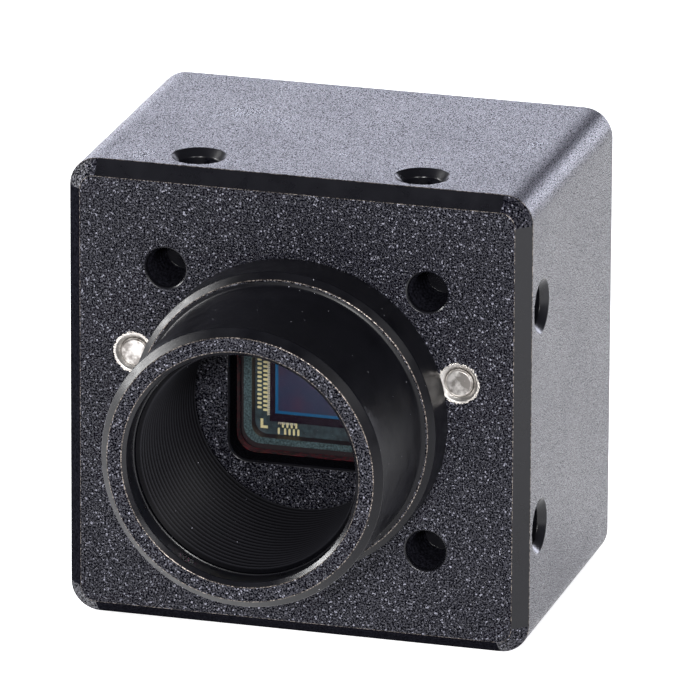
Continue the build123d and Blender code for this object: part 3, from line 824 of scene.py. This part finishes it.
# Painted sheen: random patches of plum in the colour.
painted_sheen_patch = add(tree, "ShaderNodeTexNoise", {"Scale": 1 / painted_sheen_size, "Detail": 3}, {"Vector": place_of})
tone = add(
    tree, "ShaderNodeValToRGB", {"stops": ((0.4, "#273350"), (0.75, "#43304a"))},
    {"Fac": painted_sheen_patch.outputs["Fac"]},
)
coloured = add(
    tree, "ShaderNodeMix", {"data_type": "RGBA", 7: linear("#00608f")},
    {0: in_margin.outputs["Value"], 6: tone.outputs["Color"]},
)
shader = add(
    tree, "ShaderNodeBsdfPrincipled", {"IOR": 1.6, "Roughness": 0.3}, {"Base Color": coloured.outputs[2]}
)
tree.links.new(shader.outputs["BSDF"], surface)
dress(microlenses, "pixel_array")


# ---------------------------------------------------------------------------
# Bond fingers and wires. Gold-plated pads in two staggered rows each side, and
# fine gold wires that loop from them to the chip's edge.
# ---------------------------------------------------------------------------

# Gold plating: pale yellow and softly bright, too finely grained to mirror anything.
gold = two_tone(
    "gold_plated", 0.08 * MM, 3, "#e9d88a", "#fff8ce",
    {"Metallic": 0.1, "Roughness": 0.45}, relief=(0.4, 0.005 * MM),
)
dress(gold, "bond_fingers")

# Drawn gold wire: smooth and bright, nearly white where the light falls on a loop's top. The wires are
# thicker than real ones, so that the comb of them shows.
drawn_gold = two_tone(
    "gold_wire_drawn", 0.03 * MM, 2, "#f6ecd0", "#fffdf2",
    {"Metallic": 0.3, "Roughness": 0.4},
)

die_low, die_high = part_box("sensor_die")
wire_r = 0.03 * MM
loop_r = 0.1 * MM
leg = 0.22 * MM


def wire_row(name, start, over, along, pitch, count):
    """A row of wires: each climbs from its pad, loops over in the direction given and ends on the chip."""
    bpy.ops.object.select_all(action="DESELECT")
    bpy.ops.mesh.primitive_circle_add(
        vertices=6, radius=wire_r, rotation=(math.radians(90), 0, 0), location=start
    )
    row = bpy.context.object
    row.name = name
    row.data.name = name
    bpy.ops.object.transform_apply(location=True, rotation=True, scale=True)
    edit(row)
    bpy.ops.mesh.select_mode(type="EDGE")
    bpy.ops.mesh.select_all(action="SELECT")
    bpy.ops.mesh.extrude_edges_move(TRANSFORM_OT_translate={"value": (0, -leg, 0)})
    centre = Vector(start) + Vector((0, -leg, 0)) + Vector(over) * loop_r
    bpy.ops.mesh.spin(steps=6, angle=math.pi, center=centre, axis=Vector((0, -1, 0)).cross(Vector(over)))
    pick(row, "EDGE", lambda e: e.is_boundary)
    bpy.ops.mesh.fill_holes(sides=6)
    bpy.ops.mesh.select_all(action="SELECT")
    bpy.ops.mesh.remove_doubles(threshold=1e-7)
    bpy.ops.object.mode_set(mode="OBJECT")
    comb = row.modifiers.new("comb", "ARRAY")
    comb.count = count
    comb.use_relative_offset = False
    comb.use_constant_offset = True
    comb.constant_offset_displace = Vector(along) * pitch
    bpy.ops.object.modifier_apply(modifier="comb")
    edit(row)
    bpy.ops.mesh.select_all(action="SELECT")
    bpy.ops.mesh.normals_make_consistent(inside=False)
    leave(row, 60)
    row.data.materials.append(drawn_gold)
    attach(row, "root")


pad_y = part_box("bond_fingers")[0].y - 0.005 * MM
side_gap = 0.16 * MM
side_pitch = 0.112 * MM
side_count = 40
first_z = (die_low.z + die_high.z - (side_count - 1) * side_pitch) / 2
left_x, right_x = die_low.x - side_gap, die_high.x + side_gap
for side, x, over in (("left", left_x, (1, 0, 0)), ("right", right_x, (-1, 0, 0))):
    wire_row(f"bond_wires_{side}", (x, pad_y, first_z), over, (0, 0, 1), side_pitch, side_count)
end_gap = 0.14 * MM
end_pitch = 0.126 * MM
end_count = 9
first_x = axis_x - 2.6 * MM
lower_z, upper_z = die_low.z - end_gap, die_high.z + end_gap
for end, z, over in (("lower", lower_z, (0, 0, 1)), ("upper", upper_z, (0, 0, -1))):
    wire_row(f"bond_wires_{end}", (first_x, pad_y, z), over, (1, 0, 0), end_pitch, end_count)


# ---------------------------------------------------------------------------
# Circuit boards and their parts, shut inside the housing: glass-epoxy boards
# with green mask, black moulded chips, ceramic capacitors and a metal-canned clock.
# ---------------------------------------------------------------------------

# Glass-epoxy board under a green mask: glossy, and lighter where copper runs beneath.
solder_mask = two_tone(
    "glass_epoxy_green_mask", 0.8 * MM, 4, "#0e2f1f", "#1f5a3a",
    {"IOR": 1.5, "Roughness": 0.3},
)
dress(solder_mask, "sensor_board", "main_board")
dress(black_resin, "processor_chip", "memory_chip", "interface_chip")

# Sintered barium titanate: matt tan, like fine stoneware.
titanate = two_tone(
    "barium_titanate_sintered", 0.3 * MM, 2, "#8a6a4c", "#b8987a",
    {"IOR": 1.6, "Roughness": 0.5},
)
dress(titanate, "sensor_capacitors", "main_capacitors")

# Nickel plate on steel: bright and slightly warm, with faint lines along the way it was rolled or turned.
line_w = 0.1 * MM
line_depth = 0.01 * MM
nickel, tree, place_of, surface = new_material("nickel_plated_steel")
rolled = add(tree, "ShaderNodeMapping", {"Scale": (1.0, 0.15, 1.0)}, {"Vector": place_of})
lines = add(
    tree, "ShaderNodeTexNoise", {"Scale": 1 / line_w, "Detail": 3}, {"Vector": rolled.outputs["Vector"]}
)
tone = add(
    tree, "ShaderNodeValToRGB", {"stops": ((0, "#a5a39f"), (1, "#d9d7d3"))},
    {"Fac": lines.outputs["Fac"]},
)
gloss = add(
    tree, "ShaderNodeMapRange", {"From Min": 0.3, "From Max": 0.7, "To Min": 0.22, "To Max": 0.34},
    {"Value": lines.outputs["Fac"]},
)
bump = add(
    tree, "ShaderNodeBump", {"Strength": 0.15, "Distance": line_depth}, {"Height": lines.outputs["Fac"]}
)
shader = add(
    tree, "ShaderNodeBsdfPrincipled", {"Metallic": 1.0},
    {
        "Base Color": tone.outputs["Color"], "Roughness": gloss.outputs["Result"],
        "Normal": bump.outputs["Normal"],
    },
)
tree.links.new(shader.outputs["BSDF"], surface)
dress(nickel, "clock_oscillator", "stack_screws", "usb_shell")

# Liquid crystal polymer: matt ivory, with streaks where it flowed into the mould.
ivory_polymer = two_tone(
    "liquid_crystal_polymer_ivory", 0.5 * MM, 3, "#cfc6ae", "#e6dfca",
    {"IOR": 1.6, "Roughness": 0.5},
)
dress(ivory_polymer, "mezzanine_plug", "mezzanine_socket")

# Turned brass: warm yellow, bright, with faint rings.
brass = two_tone(
    "brass_turned", 0.2 * MM, 2, "#b08d4a", "#d9bd7a",
    {"Metallic": 1.0, "Roughness": 0.3},
)
dress(brass, "stack_spacers")

# Silicone pad filled with ceramic powder: chalky grey-blue without any gloss.
gap_filler = two_tone(
    "silicone_pad_grey_blue", 0.2 * MM, 3, "#7f97ab", "#9db3c4",
    {"IOR": 1.41, "Roughness": 0.7},
)
dress(gap_filler, "thermal_pad")

# Cast epoxy over the lamp's chip: glossy and faintly yellow.
led_resin = two_tone(
    "epoxy_clear_yellowish", 0.4 * MM, 2, "#d8d29a", "#f0ecc8",
    {"IOR": 1.5, "Roughness": 0.2},
)
dress(led_resin, "status_led")


# ---------------------------------------------------------------------------
# Rear cover. A milled aluminium plate, bead-blasted and black anodised like the
# housing, let into its back on a black rubber gasket and held by four screws.
# ---------------------------------------------------------------------------
cover = copy_of("rear_cover", "rear_cover_plate")
bevel_edges(cover, edge_break, 2, 35)
weighted_normals(cover)
paint_faces(cover, [fine_blast, machined_black], lambda centre, normal: 0 if normal.y > 0.6 else 1)
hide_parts("rear_cover")
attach(cover, "root")

# Black silicone rubber: a soft black with a dusty bloom.
rubber = two_tone(
    "silicone_black", 0.4 * MM, 3, "#101012", "#202024",
    {"IOR": 1.41, "Roughness": 0.6},
)
dress(rubber, "rear_gasket")

# Black oxide on steel: blue-black and a little glossy, patchy where the oil has dried.
oil_patch = 0.3 * MM
oxide_depth = 0.01 * MM
black_oxide, tree, place_of, surface = new_material("steel_black_oxide")
oil = add(tree, "ShaderNodeTexNoise", {"Scale": 1 / oil_patch, "Detail": 4}, {"Vector": place_of})
tone = add(
    tree, "ShaderNodeValToRGB", {"stops": ((0, "#1b1b20"), (1, "#3b3b42"))},
    {"Fac": oil.outputs["Fac"]},
)
gloss = add(
    tree, "ShaderNodeMapRange", {"From Min": 0.3, "From Max": 0.7, "To Min": 0.25, "To Max": 0.42},
    {"Value": oil.outputs["Fac"]},
)
bump = add(tree, "ShaderNodeBump", {"Strength": 0.2, "Distance": oxide_depth}, {"Height": oil.outputs["Fac"]})
shader = add(
    tree, "ShaderNodeBsdfPrincipled", {"Metallic": 0.8},
    {
        "Base Color": tone.outputs["Color"], "Roughness": gloss.outputs["Result"],
        "Normal": bump.outputs["Normal"],
    },
)
tree.links.new(shader.outputs["BSDF"], surface)
screws = copy_of("rear_screws", "rear_screws_rounded")
bevel_edges(screws, 0.04 * MM, 2, 30)
screws.data.materials.append(black_oxide)
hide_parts("rear_screws")
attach(screws, "root")


# ---------------------------------------------------------------------------
# Rear connectors. A stamped nickel-plated data socket with a black tongue and
# gold contacts; a round threaded connector with six gold pins; a light pipe.
# ---------------------------------------------------------------------------

# Nylon moulded with glass fibre: dull black with faint marks of the fibres.
black_nylon = two_tone(
    "nylon_black_moulded", 0.15 * MM, 3, "#0f0f11", "#1e1e21",
    {"IOR": 1.53, "Roughness": 0.45}, relief=(0.3, 0.01 * MM),
)
dress(black_nylon, "usb_tongue", "io_insert")
dress(gold, "usb_contacts", "io_pins")

io_low, io_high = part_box("io_shell")
shell_centre = (io_low + io_high) / 2
shell_end = io_high.y
m8_major_r = 4.0 * MM
m8_root_r = 3.72 * MM
m8_length = 1.8 * MM
m8_pitch = 0.5 * MM
m8_slack = 0.05 * MM
# The shell's free end is slimmed to the thread's root, and the ridge below stands on it.
for source_name, piece_name in (("io_shell", "io_shell_turned"), ("io_nut", "io_nut_milled")):
    piece = copy_of(source_name, piece_name)
    if source_name == "io_shell":
        edit(piece)
        pick(piece, "VERT", lambda v: (
            v.co.y > shell_end - m8_length - m8_slack
            and math.hypot(v.co.x - shell_centre.x, v.co.z - shell_centre.z) > m8_major_r - m8_slack
        ))
        slimmer = m8_root_r / m8_major_r
        bpy.ops.transform.resize(value=(slimmer, 1, slimmer), center_override=shell_centre)
        leave(piece)
    bevel_edges(piece, 0.06 * MM, 2, 30)
    piece.data.materials.append(nickel)
    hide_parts(source_name)
    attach(piece, "root")

m8_run_out = 0.35 * MM
m8_turns = (m8_length - m8_run_out) / m8_pitch - 1
m8_thread = ridge("io_shell_thread", m8_turns, m8_pitch, m8_root_r - foot, m8_major_r - foot, 64)
m8_thread.data.materials.append(nickel)
place(m8_thread, (shell_centre.x, shell_end - m8_length + m8_slack, shell_centre.z), (0, 1, 0))
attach(m8_thread, "root")

# Frosted acrylic: milky and pale, and some light comes through it.
acrylic = two_tone(
    "acrylic_frosted", 0.1 * MM, 2, "#d5ded9", "#f2f7f4",
    {"IOR": 1.49, "Roughness": 0.35, "Transmission Weight": 0.5},
)
dress(acrylic, "light_pipe")


# ---------------------------------------------------------------------------
# Studio. A light table of opal acrylic, lit from inside; two low soft boxes behind,
# one high on the right, a strip on the left and a small one just above the camera.
# ---------------------------------------------------------------------------
table_r = 0.9
bpy.ops.object.select_all(action="DESELECT")
bpy.ops.mesh.primitive_circle_add(vertices=96, radius=table_r, fill_type="NGON", location=(0, 0, 0))
floor = bpy.context.object
floor.name = "light_table"

# Opal acrylic lit from inside: an even white that throws no shadow.
haze_size = 20 * MM
opal_acrylic, tree, place_of, surface = new_material("acrylic_opal_lit")
haze = add(tree, "ShaderNodeTexNoise", {"Scale": 1 / haze_size, "Detail": 2}, {"Vector": place_of})
tone = add(
    tree, "ShaderNodeValToRGB", {"stops": ((0, "#f4f4f5"), (1, "#f8f8f9"))},
    {"Fac": haze.outputs["Fac"]},
)
shader = add(
    tree, "ShaderNodeBsdfPrincipled",
    {"Roughness": 0.9, "Specular IOR Level": 0.0, "Emission Strength": 0.79},
    {"Base Color": tone.outputs["Color"], "Emission Color": tone.outputs["Color"]},
)
tree.links.new(shader.outputs["BSDF"], surface)
floor.data.materials.append(opal_acrylic)

world = bpy.data.worlds.new("studio_air")
bpy.context.scene.world = world
world.use_nodes = True
air = world.node_tree.nodes["Background"]
air.inputs["Color"].default_value = linear("#eef0ff")
air.inputs["Strength"].default_value = 0.08


def soft_box(name, position, aim, width, height, radiance, tint="#ffffff"):
    """A rectangular soft light of even brightness at position, turned to face aim."""
    lamp = bpy.data.lights.new(name, "AREA")
    lamp.shape = "RECTANGLE"
    lamp.size = width
    lamp.size_y = height
    lamp.energy = radiance * math.pi * width * height
    lamp.color = linear(tint)[:3]
    box = bpy.data.objects.new(name, lamp)
    bpy.context.scene.collection.objects.link(box)
    box.location = position
    box.rotation_euler = (Vector(aim) - Vector(position)).to_track_quat("-Z", "Y").to_euler()


# Each light's place, where it points, its width and height in metres, and its brightness.
middle = (0, 0, axis_z)
cool_white = "#eceeff"
soft_box("soft_box_behind", (-0.25, 0.6, 0.14), middle, 0.5, 0.2, 4.7, cool_white)
soft_box("soft_box_behind_right", (0.25, 0.6, 0.115), middle, 0.22, 0.17, 11.0, cool_white)
soft_box("soft_box_front", (0.5, -0.5, 0.35), middle, 0.2, 0.2, 18.0)
soft_box("soft_box_left", (-0.6, -0.02, 0.26), middle, 0.12, 0.32, 50.0)
soft_box("soft_box_lens", (0.11, -0.84, 0.31), middle, 0.1, 0.1, 190.0)

# A very long lens, standing in front, a little above and to the right.
camera_data = bpy.data.cameras.new("studio_camera")
camera_data.sensor_width = 36
camera_data.lens = 551.944
camera_data.clip_start = 0.01
camera = bpy.data.objects.new("studio_camera", camera_data)
bpy.context.scene.collection.objects.link(camera)
camera.location = (0.17248, -0.59488, 0.2226)
camera.rotation_euler = (math.radians(71.578), math.radians(-0.266), math.radians(16.1145))
bpy.context.scene.camera = camera
bpy.context.scene.view_settings.view_transform = "Standard"
